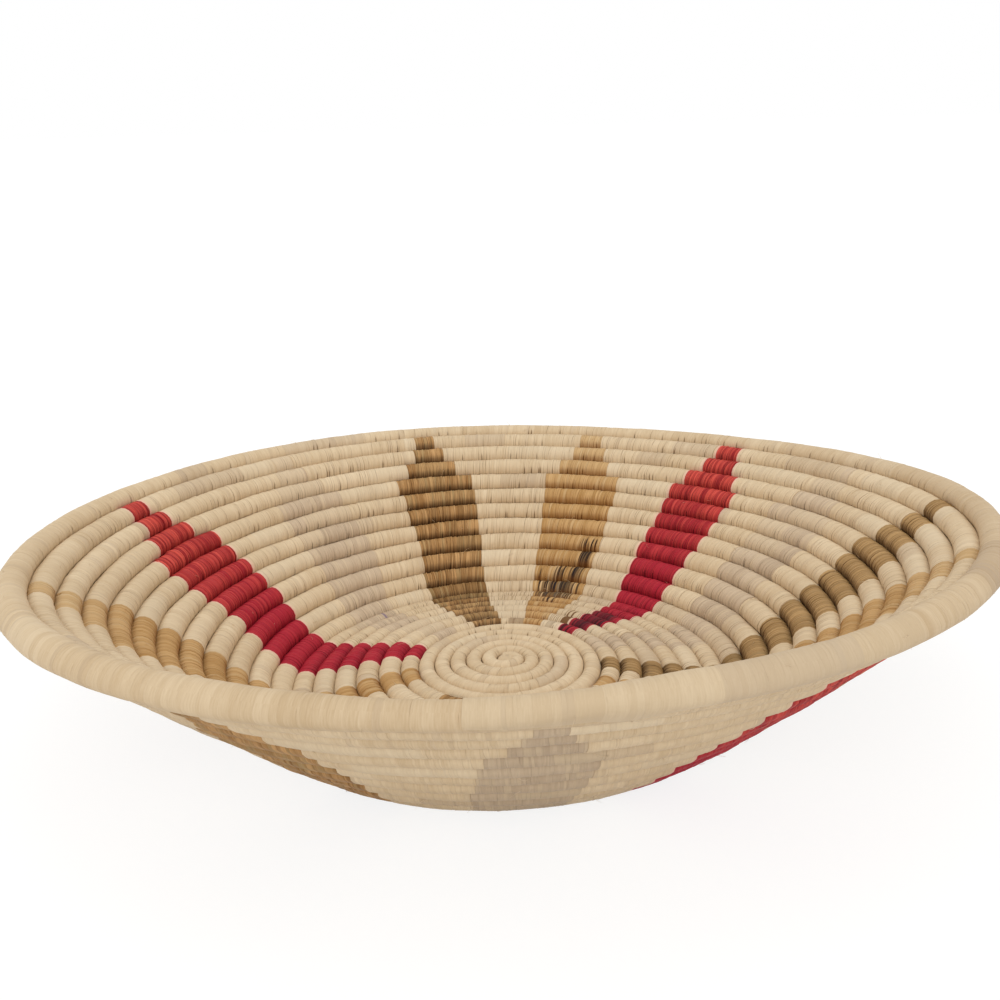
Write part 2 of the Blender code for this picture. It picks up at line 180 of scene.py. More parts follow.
# Petals, clockwise from the left: azimuth of the centre at these turns, and half the angle
# that a row covers there. The last rows at the tip are narrower.
petalTurns = (7, 9.5, 12, 16, 20)
petals = dict(
    firstTurn=7, lastTurn=23,
    tip={21: 4.7, 22: 2.9, 23: 1.8},
    ragged=0.28,                        # how far a row's ends stray from the outline, degrees
    paintedLowerShade=dict(red=0.3, grey=0.1, brown=0.75, tan=0.6),     # painted shade: how dark a row's lower edge is
    paintedGrooveShade=0.9,                         # and the painted shade in the groove between its rows
    fine=("tan_1", 11, 16, 0.62),       # these turns of one petal have finer strands
    olive=("brown_2", 0.4),             # one petal is more olive than its colour
    red_1=dict(middle=(162.0, 166.0, 166.2, 161.0, 161.6), half=(7.4, 9.4, 9.6, 8.1, 8.0)),
    grey_1=dict(middle=(131.0, 134.4, 133.8, 130.4, 131.5), half=(8.0, 7.7, 6.8, 7.6, 7.0)),
    brown_1=dict(middle=(101.0, 104.0, 104.0, 103.2, 104.2), half=(9.0, 9.3, 9.2, 7.7, 7.7)),
    tan_1=dict(middle=(71.8, 71.8, 72.2, 73.0, 73.5), half=(5.8, 7.8, 7.8, 7.6, 7.4)),
    red_2=dict(middle=(47.5, 45.5, 46.3, 48.5, 48.3), half=(5.6, 6.4, 6.5, 6.6, 6.6)),
    grey_2=dict(middle=(20.5, 20.3, 20.0, 25.0, 25.6), half=(7.0, 6.4, 7.4, 7.1, 6.9)),
    brown_2=dict(middle=(-5.0, -7.7, -6.8, -1.4, 2.4), half=(6.2, 6.6, 6.4, 7.0, 6.4)),
    tan_2=dict(middle=(-27.5, -26.8, -24.5, -21.6, -20.0), half=(6.2, 6.6, 6.8, 6.6, 6.0)),
    red_3=dict(middle=(-56.0, -57.0, -57.5, -52.2, -47.0), half=(7.6, 7.8, 7.8, 7.6, 7.4)),
    grey_3=dict(middle=(-86.6, -87.0, -87.4, -87.0, -86.0), half=(8.2, 8.6, 9.0, 9.2, 7.6)),
    brown_3=dict(middle=(-122.0, -121.0, -121.0, -121.8, -123.5), half=(8.0, 8.2, 8.2, 8.2, 7.8)),
    tan_3=dict(middle=(-165.5, -161.6, -162.2, -165.6, -164.2), half=(7.8, 5.9, 6.6, 7.6, 8.0)),
)
petalOrder = ("red_1", "grey_1", "brown_1", "tan_1", "red_2", "grey_2",
              "brown_2", "tan_2", "red_3", "grey_3", "brown_3", "tan_3")
petalCount = len(petalOrder)
firstPetal = petalOrder.index("grey_3")     # the petal that starts at the seam
fromSeam = [petalOrder[(firstPetal + k) % petalCount] for k in range(petalCount)]
chance = np.random.default_rng(24)
stray = chance.uniform(-1, 1, (petalCount + 1, 2, 26)) * petals["ragged"]
stray[0, 0] = 0
stray[-1] = stray[0]


def petalEdge(place, side, turn):
    # azimuth of a petal's edge on one turn: its centre plus or minus half its width, counted
    # down from the seam with no jump at -180. place counts petals clockwise from the seam, and
    # after the last comes the first a turn later.
    look = petals[fromSeam[place % petalCount]]
    middle = np.interp(turn, petalTurns, look["middle"])
    half = petals["tip"].get(turn, np.interp(turn, petalTurns, look["half"]))
    at = middle + side * half + stray[place, 0 if side > 0 else 1, turn]
    if place % petalCount == 0 and side > 0 and turn < min(petals["tip"]):
        at = coil["seam"]
    while at > coil["seam"] + 30 or (place > 3 and at > coil["seam"]):
        at -= 360
    return at - (360 if place == petalCount and at > -300 else 0)


# Strands: how wide a strand lies on the coil, and how its surface is worked
strand = dict(
    width=0.00108,                      # mean width, metres
    uneven=0.38, widths=(0.45, 2.4),    # spread of the widths, and the least and most
    fits=1.012,                         # a turn's thickness in shares of its room
    squareIn=2.3, squareOut=3.0,        # 2 is a round section, more is squarer
    crown=0.00006,                      # how far a strand swells over its edges
    lap=0.00010,                        # a strand's far edge lies this much over the next
    slit=0.00008,                       # usual depth of the line between two strands
    deepSlit=0.00034,                   # depth of the few deep ones
    slitSpread=(0.2, 1.8), deepSpread=(0.5, 1.2), crownSpread=(0.6, 1.4),   # least and most
    deepKept=0.4,                       # share of a deep slit's depth that no calmer relief takes
    flank=0.00018, flankShare=0.24,     # width of a strand's rounded edge, at most this share
    lift=0.00009,                       # a strand lies this much higher or lower than the next
    skewed=0.09, skewSpread=0.05,       # how far the strands lean along the coil
    leanLength=0.005, uprightEnds=0.003,
    lump=0.014,                         # swelling of the core, as a share of its radius
    lumps=((0.0061, 1.0), (0.0137, 1.0), (0.0029, 0.4)),        # its waves: length, size
    strip=0.030, strips=(0.4, 1.6),     # length of coil that one strip of raffia covers
    shadeWave=0.05, shadeLength=0.011,  # a slow wave of the shade
    hole=0.00028,                       # a stitch parts the strands this far at the lower edge
    # holeDark: how dark the painted shade in a stitch hole is
    holeDepth=0.0009, holeSpread=(0.6, 1.0), holeDark=1.6,
    holeFade=(0.25, 0.85), holeAside=0.1,       # which part of the section it takes
    holes=0.075,                        # share of the slits that a stitch parts
    calm=0.6,                           # outside the tray the relief is weaker by this share
    calmFade=(0.0, 0.7),
    shadeFade=(0.25, 1.0), grooveFade=(0.93, 1.0),      # where the painted shade at a turn's lower edge and in the grooves at its edges fades in
    uvAround=0.005, sides=16,
)
# A deep slit runs over part of the turn: the angle from its upper edge where it is deepest,
# how often that is so, and how far it reaches. Where it is deepest its painted shade is darkest.
# The others show by their painted shade, which grows towards the turn's lower edge and is weaker on smooth
# strands.
deepSlits = dict(
    middles=(2.5, 0.4, 1.6), often=(0.6, 0.2, 0.2), reach=(0.35, 1.2), dark=(0.5, 0.95),
    least=0.65, growth=0.6, grows=(-0.4, 0.8), smoothest=0.3, atEnds=0.25,
)
# How much the strands and strips of a colour differ in shade, how dark the painted shade in the usual
# slits is (least, most, and the power that makes the dark ones rare), the share of deep slits, how wide
# the strands and how strong their relief is, in shares of the usual, and how much painted shade
# darkens the colour outside the tray
unlike = dict(
    cream=dict(strands=0.12, strips=0.12, slits=(0.01, 0.75, 3.2), deep=0.16,
               width=1.05, relief=0.75, paintedOutsideShade=0.09),
    red=dict(strands=0.40, strips=0.08, slits=(0.15, 1.00, 1.1), deep=0.42,
             width=0.88, relief=1.15, paintedOutsideShade=0.12),
    grey=dict(strands=0.17, strips=0.16, slits=(0.02, 0.70, 2.8), deep=0.17,
              width=1.05, relief=0.75, paintedOutsideShade=0.19),
    brown=dict(strands=0.32, strips=0.10, slits=(0.12, 1.00, 1.2), deep=0.42,
               width=0.88, relief=1.15, paintedOutsideShade=0.12),
    tan=dict(strands=0.22, strips=0.12, slits=(0.06, 0.75, 1.8), deep=0.26,
             width=0.95, relief=1.0, paintedOutsideShade=0.22),
)


def layStrands(rng, total, width):
    # edges of the strands along a run of this length: widths from a log-normal draw, scaled
    # to fill it. Also the places of its rings: a strand is three rings, the slit before it
    # and the two shoulders of its crown.
    count = max(2, int(round(total / width)))
    widths = np.clip(rng.lognormal(0, strand["uneven"], count), *strand["widths"])
    edges = np.concatenate(([0], np.cumsum(widths))) * total / widths.sum()
    flank = np.minimum(strand["flankShare"] * np.diff(edges), strand["flank"])
    rings = np.stack([edges[:-1], edges[:-1] + flank, edges[1:] - flank], 1).ravel()
    return edges, np.append(rings, total)


def strandRelief(rng, count, share, relief, ends):
    # which slits are deep, how deep, and the height of each ring over the section: down in
    # the slits and up on the shoulders
    deep = rng.random(count + 1) < share
    depth = strand["slit"] * rng.uniform(*strand["slitSpread"], count + 1) * relief
    deeper = strand["deepSlit"] * rng.uniform(*strand["deepSpread"], count + 1)
    deeper = deeper * (strand["deepKept"] + (1 - strand["deepKept"]) * relief)
    lift = rng.normal(0, strand["lift"], count) * relief
    crown = strand["crown"] * rng.uniform(*strand["crownSpread"], count) * relief
    lap = strand["lap"] * rng.uniform(0, 1, count) * relief / 2
    shoulders = np.stack([-depth[:-1], lift + crown - lap, lift + crown + lap], 1).ravel()
    swell = np.append(shoulders, -depth[-1])
    swell[0], swell[-1] = -ends[0], -ends[1]
    return deep, deeper, swell


def strandTones(rng, edges, total, differ):
    # shade of each ring: its strand's own, its strip's, and a slow wave. A slit has the mean
    # of its two strands. Also a number between 0 and 1 for the strip of each strand.
    count, most = len(edges) - 1, int(total / strand["strip"]) + 4
    cuts = np.cumsum(rng.uniform(*strand["strips"], most)) * strand["strip"]
    cuts -= rng.uniform(0, 1) * strand["strip"]
    strip = np.searchsorted(cuts, (edges[:-1] + edges[1:]) / 2)
    stripTone = rng.normal(0, differ["strips"], len(cuts) + 1)[strip]
    own = rng.normal(0.5, differ["strands"], count) + stripTone
    own += strand["shadeWave"] * np.sin(rng.uniform(0, 6.3) + edges[:-1] / strand["shadeLength"])
    tone = np.append(np.repeat(own, 3), own[-1])
    tone[3:-1:3] = (own[:-1] + own[1:]) / 2
    return tone, rng.random(len(cuts) + 1)[strip]


def slitsAround(rng, theta, deep, differ, smooth):
    # for each slit and side of the section: how far a deep slit has its depth there, and how
    # dark the painted shade in the slit is
    count = len(deep)
    across = np.abs((theta + np.pi) % (2 * np.pi) - np.pi)[None]    # 0 at the upper edge, pi below
    middle = rng.choice(deepSlits["middles"], (count, 2), p=deepSlits["often"])
    reach = rng.uniform(*deepSlits["reach"], (count, 2))
    inOrOut = (np.sin(theta) < 0).astype(int)
    window = np.exp(-((across - middle[:, inOrOut]) / reach[:, inOrOut]) ** 2) * deep[:, None]
    least, most, rare = differ["slits"]
    dark = least + (most - least) * rng.random(count) ** rare
    growth = deepSlits["growth"] * rounded(-np.cos(theta), *deepSlits["grows"])
    dark = dark[:, None] * (deepSlits["least"] + growth)
    dark = dark * (deepSlits["smoothest"] + (1 - deepSlits["smoothest"]) * smooth)
    dark = np.maximum(dark, rng.uniform(*deepSlits["dark"], count)[:, None] * window)
    dark[0], dark[-1] = deepSlits["atEnds"], deepSlits["atEnds"]
    return window, dark


def wrappedRun(turn, startDeg, stopDeg, seed, colour="cream", width=1.0, sides=None, size=None,
               smooth=1.0, ends=(0.00014, 0.00014), ticks=1.0, paintedLowerShade=0.07, paintedGrooveShade=0.5):
    # one stretch of coil wrapped in strands: a closed ring carried along the coil. A point's
    # distance from the coil's middle is half the room times (|cos| ** p + |sin| ** p) ** (-1 / p)
    # plus the height of its ring. size gives, for a share of a turn, the section's lower and
    # upper edge and its width, in pitches.
    # The lower-edge and groove arguments paint shade: how dark the turn is towards its lower edge and in
    # the grooves beside the next turns.
    rng = np.random.default_rng(seed)
    differ = unlike[colour]
    sides = sides or strand["sides"]
    table = np.linspace(startDeg, stopDeg, max(12, int(abs(startDeg - stopDeg) * 2)))
    middle = coilFrame(turn - 0.5 + turnShare(table), table)[0]
    length = np.concatenate(([0], np.cumsum(np.linalg.norm(np.diff(middle, axis=0), axis=1))))
    edges, place = layStrands(rng, length[-1], strand["width"] * differ["width"] * width)
    count, rings, total = len(edges) - 1, len(place), length[-1]
    isSlit = np.arange(rings) % 3 == 0
    deep, deeper, swell = strandRelief(rng, count, differ["deep"], smooth * differ["relief"], ends)

    # a strand leans a little, least at the ends of the run
    lean = strand["skewed"] + rng.normal(0, strand["skewSpread"], count + 1)
    lean *= np.minimum(1, np.minimum(edges, total - edges) / strand["uprightEnds"])
    lean = np.interp(place, edges, lean)[:, None] * strand["leanLength"]
    tone, chosenStrip = strandTones(rng, edges, total, differ)

    # section: a square with round corners, squarer outside the tray than inside
    theta = np.linspace(0, 2 * np.pi, sides, endpoint=False)
    cosT, sinT = np.cos(theta)[None], np.sin(theta)[None]
    power = np.where(sinT > 0, strand["squareIn"], strand["squareOut"])
    bulge = (np.abs(cosT) ** power + np.abs(sinT) ** power) ** (-1 / power)
    outside = rounded(-sinT, *strand["calmFade"])
    window, slitDark = slitsAround(rng, theta, deep, differ, smooth)
    slitDepth = np.zeros((rings, sides))
    slitDepth[isSlit] = deeper[:, None] * window
    slitDepth[0] = slitDepth[-1] = 0

    # stitch holes: at some slits the strands part at the lower edge of the turn
    isHole = rng.random(count + 1) < strand["holes"] * ticks * width
    hole = isHole * rng.uniform(*strand["holeSpread"], count + 1)
    hole[:2], hole[-2:] = 0, 0
    holeRing = np.zeros(rings)
    holeRing[isSlit] = hole
    low = rounded(-cosT, *strand["holeFade"]) * (np.abs(sinT) > strand["holeAside"])
    parted = (np.roll(holeRing, 1) - np.roll(holeRing, -1))[:, None] * low * strand["hole"]
    holeHere = holeRing[:, None] * low

    # places of the points, ring by ring
    alongCoil = place[:, None] + lean * cosT + parted
    azimuth = np.interp(alongCoil, length, table)
    share = turnShare(azimuth)
    lower, upper, across = (-0.5, 0.5, 1.0) if size is None else size(share)
    centre, along, normal, room = coilFrame(turn - 0.5 + share, azimuth)
    phases = rng.uniform(0, 6.3, 3)
    lumps = sum(high * np.sin(alongCoil / wave + phase)
                for (wave, high), phase in zip(strand["lumps"], phases))
    reach = 0.5 * room * strand["fits"] * (1 + strand["lump"] * lumps) * bulge
    offset = swell[:, None] - slitDepth - strand["holeDepth"] * holeHere
    offset = offset * (1 - strand["calm"] * outside)
    up = room * (lower + upper) / 2 + (reach * (upper - lower) + offset) * cosT
    points = centre + along * up[..., None] + normal * ((reach * across + offset) * sinT)[..., None]
    points[..., 2] = np.maximum(points[..., 2], coil["lowest"])

    # darkness, all painted shade: in the slits and holes, at the turn's lower edge and in the groove beside
    # the next turn
    slit = np.zeros((rings, sides))
    slit[isSlit] = slitDark
    slit = np.maximum(slit, holeHere * strand["holeDark"])
    # painted shade, darker towards the turn's lower edge
    slit = slit + paintedLowerShade * rounded(-cosT, *strand["shadeFade"])
    # painted shade in the grooves where the turn meets its neighbours
    slit = slit + paintedGrooveShade * rounded(np.abs(cosT), *strand["grooveFade"])
    # outside the tray the painted shade of slits, holes and edges is weaker, and the whole outer side gets
    # painted shade
    slit = np.clip(slit * (1 - strand["calm"] * outside) + differ["paintedOutsideShade"] * outside, 0, 1)
    strandOf = np.minimum(np.arange(rings) // 3, count - 1)
    return dict(points=points, slit=slit, azimuth=azimuth, turn=turn, total=total, along=alongCoil,
                tone=np.clip(np.broadcast_to(tone[:, None], slit.shape), 0, 1),
                ahead=np.gradient(points, axis=0),
                outward=along * cosT[..., None] + normal * sinT[..., None],
                around=np.broadcast_to(theta[None] * strand["uvAround"], slit.shape),
                upward=np.broadcast_to((cosT + 1) / 2, slit.shape),
                strandNoise=rng.random(count)[strandOf][:, None],
                stripNoise=chosenStrip[strandOf][:, None], strandAzimuth=azimuth[:, :1])


# Loose fibres that stand off the strands, about one for every so many metres of coil
loose = dict(
    every=0.013, length=(0.0020, 0.0065), thick=0.00010, rise=(0.03, 0.45), rings=5,
    aside=(0.1, 1.0), slant=0.9, curl=0.22, taper=0.7, inBox=0.0003, tone=(0.5, 1.0), pale=0.35,
    bend=1.25, above=0.02, uvAlong=0.004, uvAround=0.0001, rarerOnCream=1.6,
)


def looseFibres(runs, seed, every=1.0):
    # a fibre here and there on the runs. With t from 0 at its root to 1 at its tip it goes t
    # along the surface, t * (bend - t) times its rise up from it and t * t times its curl aside.
    rng = np.random.default_rng(seed)
    starts, outs, sideways = [], [], []
    for run in runs:
        count = rng.poisson(run["total"] / (loose["every"] * every))
        ring = rng.integers(1, len(run["points"]) - 1, count)
        side = rng.integers(0, run["points"].shape[1], count)
        starts.append(run["points"][ring, side])
        outs.append(run["outward"][ring, side])
        sideways.append(unit(run["ahead"][ring, side]))
    start, out, ahead = (np.concatenate(found) for found in (starts, outs, sideways))
    count = len(start)
    if count == 0:
        return []
    turned = rng.choice([-1, 1], (count, 1)) * ahead * rng.uniform(*loose["aside"], (count, 1))
    flat = unit(turned + np.cross(out, ahead) * rng.normal(0, loose["slant"], (count, 1)))
    length = rng.uniform(*loose["length"], (count, 1, 1))
    rise = rng.uniform(*loose["rise"], (count, 1, 1))
    t = np.linspace(0, 1, loose["rings"])[None, :, None]
    curl = np.cross(out, flat)[:, None] * rng.normal(0, loose["curl"], (count, 1, 1)) * t ** 2
    bent = flat[:, None] * t + out[:, None] * (rise * t * (loose["bend"] - t) + loose["above"]) + curl
    line = start[:, None] + length * bent
    line = np.clip(line, np.add(cadBox[0], loose["inBox"]), np.subtract(cadBox[1], loose["inBox"]))
    angle = np.arange(3) * 2 * np.pi / 3
    thick = loose["thick"] * (1 - loose["taper"] * t)[..., None]
    across = np.cross(flat, out)[:, None, None]
    ring = out[:, None, None] * np.cos(angle)[:, None] + across * np.sin(angle)[:, None]
    points = line[:, :, None] + ring * thick
    blank = np.zeros(points.shape[:-1])
    return [dict(points=points, tone=blank + rng.uniform(*loose["tone"], (count, 1, 1)), slit=blank,
                 stainA=blank, stainB=blank, pale=blank + loose["pale"],
                 along=blank + t * loose["uvAlong"], around=blank + angle * loose["uvAround"])]


def quadCorners(values, closed=True):
    # the values of the points at the four corners of each face between two rings. A length
    # round the ring isn't closed: behind its last point it runs on
    beside = np.roll(values, -1, axis=-1)
    if not closed:
        beside[..., -1] = 2 * values[..., -1] - values[..., -2]
    rings = [values[..., :-1, :], beside[..., :-1, :], beside[..., 1:, :], values[..., 1:, :]]
    return np.stack(rings, -1)


def meshFromRuns(name, runs, material):
    # joins the runs' rings with four-sided faces and closes both ends of each run. The shades
    # go on the points, and the lengths along and around the coil are the UV map
    loops, starts, uvs = [], [], []
    base, loopCount = 0, 0
    for run in runs:
        shape = run["points"].shape[:-1]
        index = base + np.arange(math.prod(shape)).reshape(shape)
        quads = quadCorners(index)
        ends = index[..., 0, ::-1], index[..., -1, :]
        caps = np.concatenate([end.reshape(-1, shape[-1]) for end in ends])
        loops += [quads.ravel(), caps.ravel()]
        wrap = np.stack([run["along"], run["around"]], -1)
        corners = np.stack([quadCorners(run["along"]), quadCorners(run["around"], closed=False)], -1)
        for part in (corners, wrap[..., 0, ::-1, :], wrap[..., -1, :, :]):
            uvs.append(part.reshape(-1, 2))
        starts.append(loopCount + 4 * np.arange(quads.size // 4))
        starts.append(loopCount + quads.size + shape[-1] * np.arange(len(caps)))
        loopCount += quads.size + caps.size
        base += index.size
    points = np.concatenate([run["points"].reshape(-1, 3) for run in runs])
    loops = np.concatenate(loops)
    starts = np.concatenate(starts)
    mesh = bpy.data.meshes.new(name)
    mesh.vertices.add(len(points))
    mesh.vertices.foreach_set("co", points.ravel())
    mesh.loops.add(len(loops))
    mesh.loops.foreach_set("vertex_index", loops.astype(np.int32))
    mesh.polygons.add(len(starts))
    mesh.polygons.foreach_set("loop_start", starts.astype(np.int32))
    mesh.update(calc_edges=True)
    mesh.validate()
    mesh.polygons.foreach_set("use_smooth", np.ones(len(mesh.polygons), bool))
    for key in ("tone", "slit", "stainA", "stainB", "pale"):
        values = np.concatenate([run[key].ravel() for run in runs])
        mesh.attributes.new(key, "FLOAT", "POINT").data.foreach_set("value", values.astype(np.float32))
    layer = mesh.uv_layers.new(name="wrap")
    layer.data.foreach_set("uv", np.concatenate(uvs).ravel().astype(np.float32))
    mesh.materials.append(material)
    piece = bpy.data.objects.new(name, mesh)
    bpy.context.scene.collection.objects.link(piece)
    return piece


class Value:
    # a socket in a sum: operators on it add the Math nodes
    def __init__(self, maker, socket):
        self.maker, self.socket = maker, socket

    def math(self, operation, first, second):
        return self.maker.node("Math", dict(operation=operation), {0: first, 1: second})[0]

    def __add__(self, other):
        return self.math("ADD", self, other)

    def __radd__(self, other):
        return self.math("ADD", other, self)

    def __sub__(self, other):
        return self.math("SUBTRACT", self, other)

    def __rsub__(self, other):
        return self.math("SUBTRACT", other, self)

    def __mul__(self, other):
        return self.math("MULTIPLY", self, other)

    def __rmul__(self, other):
        return self.math("MULTIPLY", other, self)


class Nodes:
    # the node tree of a material or world in the making. node() takes a node's type, its
    # settings, and the values or links of its sockets, and gives its outputs
    def __init__(self, owner):
        owner.use_nodes = True
        self.owner, self.tree = owner, owner.node_tree

    def node(self, kind, settings, sockets):
        made = self.tree.nodes.new("ShaderNode" + kind)
        for key, value in settings.items():
            setattr(made, key, value)
        for key, value in sockets.items():
            self.feed(made.inputs[key], value)
        return [Value(self, socket) for socket in made.outputs]

    def feed(self, socket, value):
        # links a socket, or sets it where the value is a plain number or colour
        if isinstance(value, Value):
            self.tree.links.new(value.socket, socket)
        else:
            socket.default_value = value

    def kept(self, name):
        return self.tree.nodes[name]

    def attribute(self, name):
        return self.node("Attribute", dict(attribute_name=name), {})[2]

    def mix(self, factor, first, second):
        # sockets 6 and 7 and output 2 of a Mix node are its colours
        return self.node("Mix", dict(data_type="RGBA"), {0: factor, 6: first, 7: second})[2]

    def objectPlace(self):
        return self.node("TexCoord", {}, {})[3]

    def plainRays(self):
        # camera, glossy and transmission rays, which see the plain white background
        path = self.node("LightPath", {}, {})
        return path[0] + path[3] + path[6]


def rgb(red, green, blue):
    # a colour as it shows on screen, turned to linear light
    return tuple(((c / 255 + 0.055) / 1.055) ** 2.4 for c in (red, green, blue)) + (1.0,)


# deep is the colour that the slit attribute mixes in: painted shade, and on cream also the brown spots
raffia = dict(
    cream=dict(light=rgb(231, 210, 177), dark=rgb(206, 181, 145), deep=rgb(116, 80, 44),
               stainA=rgb(182, 161, 138), stainB=rgb(240, 196, 176)),
    red=dict(light=rgb(222, 86, 72), dark=rgb(150, 22, 28), deep=rgb(58, 4, 10),
             stainA=rgb(54, 11, 23), stainB=rgb(176, 22, 50)),
    grey=dict(light=rgb(216, 194, 165), dark=rgb(190, 167, 140), deep=rgb(98, 76, 56),
              stainA=rgb(104, 82, 124), stainB=rgb(222, 200, 166)),
    brown=dict(light=rgb(206, 162, 108), dark=rgb(150, 108, 59), deep=rgb(56, 30, 10),
               stainA=rgb(172, 146, 100), stainB=rgb(112, 78, 34)),
    tan=dict(light=rgb(210, 170, 116), dark=rgb(174, 131, 74), deep=rgb(124, 72, 18),
             stainA=rgb(20, 8, 10), stainB=rgb(212, 182, 136)),
)
# What the five colours share. The strand's own tone, fine fibres along it and broad clouds
# choose between dark and light.
surface = dict(
    toneShare=0.8, fibreShare=0.9, cloudShare=0.35, pale=rgb(226, 210, 182),
    fibreScale=(1900, 170, 1), fibreDetail=3.0,
    cloudScale=46.0, cloudDetail=4.0, cloudRough=0.6,
    roughness=0.52, roughnessShare=0.22, specular=0.22, bump=0.5, bumpDepth=0.00012,
)


def raffiaFinish(name, look):
    # dark to light by tone, fibre and cloud, and over it the shades that the points carry: stains, paler
    # strands, and in the slit attribute mostly painted shade
    made = Nodes(bpy.data.materials.new(name))
    shader = made.kept("Principled BSDF")
    tone = made.attribute("tone")
    slit = made.attribute("slit")
    wrap = made.node("UVMap", dict(uv_map="wrap"), {})[0]
    wrap = made.node("VectorMath", dict(operation="MULTIPLY"), {0: wrap, 1: surface["fibreScale"]})[0]
    fibre = made.node("TexNoise", dict(noise_dimensions="2D"), {
        "Vector": wrap, "Scale": 1.0, "Detail": surface["fibreDetail"]})[0]
    cloud = made.node("TexNoise", {}, {
        "Vector": made.objectPlace(), "Scale": surface["cloudScale"],
        "Detail": surface["cloudDetail"], "Roughness": surface["cloudRough"]})[0]
    # all three vary about a half, and with this taken off so does their sum
    excess = (surface["toneShare"] + surface["fibreShare"] + surface["cloudShare"] - 1) / 2
    mixed = (tone * surface["toneShare"] + fibre * surface["fibreShare"]
             + cloud * surface["cloudShare"] - excess)
    colour = made.mix(mixed, look["dark"], look["light"])
    colour = made.mix(made.attribute("stainB"), colour, look["stainB"])
    colour = made.mix(made.attribute("stainA"), colour, look["stainA"])
    # the slit attribute: painted shade in slits, holes, grooves, at lower edges and outside the tray, and
    # some brown spots
    colour = made.mix(slit, colour, look["deep"])
    colour = made.mix(made.attribute("pale"), colour, surface["pale"])
    made.feed(shader.inputs["Base Color"], colour)
    made.feed(shader.inputs["Roughness"], surface["roughness"] + fibre * surface["roughnessShare"])
    made.feed(shader.inputs["Specular IOR Level"], surface["specular"])
    bump = made.node("Bump", {}, {
        "Height": fibre, "Strength": surface["bump"], "Distance": surface["bumpDepth"]})
    made.feed(shader.inputs["Normal"], bump[0])
    return made.owner


finishes = {name: raffiaFinish("raffia_" + name, look) for name, look in raffia.items()}
print("finishes made")


def spot(azimuthDeg, at, wide):
    # 1 near one azimuth, 0 elsewhere: exp(-x ** 4) of the angle to it over the half width
    return np.exp(-(((azimuthDeg - at + 180) % 360 - 180) / wide) ** 4)


# Strands of another dye: turn, azimuth, half width in degrees, the share of the strands
# there, and how far up from the lower edge they are dark, 1 for the whole turn
darkTan = (
    (16, 68.6, 0.9, 0.9, 0.4), (16, 66.2, 0.9, 0.85, 0.25), (15, 68.6, 1.2, 0.85, 1),
    (15, 66.6, 1.6, 0.6, 1), (14, 68.2, 1.9, 0.95, 1), (14, 73.2, 1.6, 0.9, 0.75),
    (14, 79.2, 1.2, 0.6, 0.3), (13, 73.2, 6.4, 1, 1), (13, 69.4, 2.6, 0.95, 1),
    (12, 72.6, 6.0, 1, 1), (11, 72.0, 5.0, 0.4, 0.5),
)
plumRed = ((10, 46.8, 6.2, 1, 1), (9, 45.8, 6.6, 1, 1), (8, 44.8, 5.6, 1, 1), (7, 49.0, 2.6, 0.8, 1))
brownCream = ((7, 81.5, 5.4, 1, 1), (8, 55.6, 2.6, 0.9, 1), (9, 57.0, 1.8, 0.7, 1), (7, 60.0, 3.6, 0.75, 1))
# Painted shade at the back, on the cream turns of the floor and the knee: how much darker the slits
# and the strands are there
paintedBackShade = dict(azimuth=73, half=38, turns=range(8, 14), slits=0.7, plain=0.10)
# How dark a spot's strands are and how unevenly high they reach. again makes a second
# number between 0 and 1 out of a strand's own.
spotLook = dict(least=0.45, more=0.6, ragged=0.7, lower=0.2, soft=0.2, again=37.1)
# Where a colour shows its other shades. Strands and strips: the limit that their own number
# between 0 and 1 has to pass, and how strongly the shade then shows. violet: turn, azimuth,
# half width and strength. streakAt: azimuth and half width.
tints = dict(
    creamStrips=(0.92, 0.30), creamStrands=(0.94, 0.20), paleStrips=(0.12, 0.30),
    bled=0.85, bledOver=0.0010,         # red dye on the cream beside it, over this length
    crimson=0.85, crimsonTo=20.5, crimsonOver=6,        # red is deeper below this turn
    greyStrips=(0.82, 0.55), greyStrands=(0.84, 0.4), violet=(12, 131.2, 0.22, 0.8),
    brownStrands=(0.86, 0.45), brownStrips=(0.75, 0.25),
    darkStrands=(0.20, 0.35), darkTurns=range(7, 19),   # brown is darker low down
    # painted shade on the brown turns of the floor and, darker, in the knee where floor and wall meet
    paintedFloorShade=0.2, floorTurns=range(7, 12), paintedKneeShade=0.6, kneeTurns=(12, 13),
    faded=0.6, fadedFrom=19.5, fadedOver=3, tanStrands=(0.84, 0.4),     # tan is paler high up
    streaks=0.12, streakTurns=(12, 13, 14), streakStrands=0.88, streakAt=(72.5, 7.5),
)


def spots(run, listed):
    # strength of the listed spots at each point of the run: some strands are dark, some not
    total = np.zeros_like(run["azimuth"])
    for turn, at, wide, share, up in listed:
        if turn == run["turn"]:
            dark = run["strandNoise"] < share * spot(run["strandAzimuth"], at, wide)
            strength = run["strandNoise"] * spotLook["again"] % 1
            top = up + spotLook["ragged"] * strength - spotLook["lower"]
            height = rounded(top - run["upward"], 0, spotLook["soft"])
            total = np.maximum(total, dark * (spotLook["least"] + spotLook["more"] * strength) * height)
    return total


def above(noise, tint):
    # the tint's strength where the random number is above its limit
    limit, strength = tints[tint]
    return strength * (noise > limit)


def below(noise, tint):
    # the tint's strength where the random number is below its limit
    limit, strength = tints[tint]
    return strength * (noise < limit)


